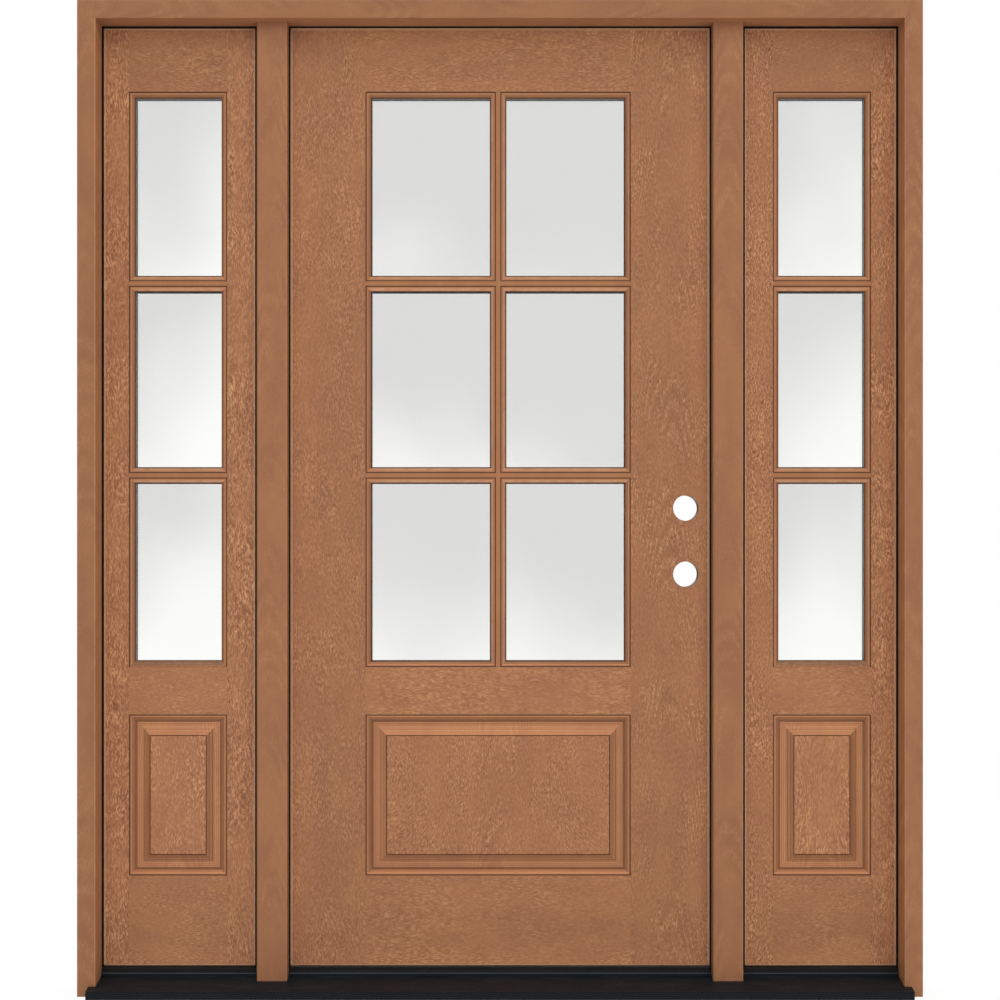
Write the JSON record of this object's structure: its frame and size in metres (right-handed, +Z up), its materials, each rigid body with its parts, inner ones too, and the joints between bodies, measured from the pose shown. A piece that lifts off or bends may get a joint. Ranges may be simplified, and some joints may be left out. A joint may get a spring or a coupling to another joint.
{
  "type": "entry door unit with sidelights",
  "caption": "Stained wood entry door unit: a glazed, panelled inswing door bored for a lock, between fixed glazed sidelights, in a frame with a sloped sill",
  "frame": {"origin": "Under the sill, in the middle of the unit's width, below the outer faces of the jambs", "axes": "+X to the right seen from outside, +Y from outside to inside, +Z up"},
  "size_m": [1.7514, 0.1592, 2.0647],
  "materials": {
    "slab_wood": "stained wood grain, satin",
    "frame_wood": "stained frame, satin",
    "glass": "clear insulating glass",
    "tread_metal": "dark bronze coated aluminium",
    "composite": "composite core",
    "cap": "dark composite",
    "rubber": "dark brown seal",
    "hinge_steel": "satin steel"
  },
  "bodies": {
    "frame": {"left_jamb": "frame_wood", "right_jamb": "frame_wood", "head_jamb": "frame_wood", "left_mullion": "frame_wood", "right_mullion": "frame_wood", "left_outer_stile": "slab_wood", "left_inner_stile": "slab_wood", "left_top_rail": "slab_wood", "left_mid_rail": "slab_wood", "left_bottom_rail": "slab_wood", "left_panel": "slab_wood", "left_muntins": "slab_wood", "right_outer_stile": "slab_wood", "right_inner_stile": "slab_wood", "right_top_rail": "slab_wood", "right_mid_rail": "slab_wood", "right_bottom_rail": "slab_wood", "right_panel": "slab_wood", "right_muntins": "slab_wood", "left_glass": "glass", "right_glass": "glass", "sill_tread": "tread_metal", "sill_base": "composite", "threshold_cap": "cap", "left_sill_block": "cap", "right_sill_block": "cap", "door_weatherstrip": "rubber", "left_gasket": "rubber", "right_gasket": "rubber", "top_hinge_frame_leaf": "hinge_steel", "middle_hinge_frame_leaf": "hinge_steel", "bottom_hinge_frame_leaf": "hinge_steel"},
    "door": {"door_hinge_stile": "slab_wood", "door_lock_stile": "slab_wood", "door_top_rail": "slab_wood", "door_mid_rail": "slab_wood", "door_bottom_rail": "slab_wood", "door_panel": "slab_wood", "door_muntins": "slab_wood", "door_glass": "glass", "door_sweep": "rubber", "top_hinge_door_leaf": "hinge_steel", "middle_hinge_door_leaf": "hinge_steel", "bottom_hinge_door_leaf": "hinge_steel"}
  },
  "joints": [
    {"name": "door_hinge", "type": "hinge", "parent": "frame", "child": "door", "pos_m": [-0.4547, 0.1229, 1], "axis": [0, 0, 1], "range_deg": [0, 105]}
  ]
}
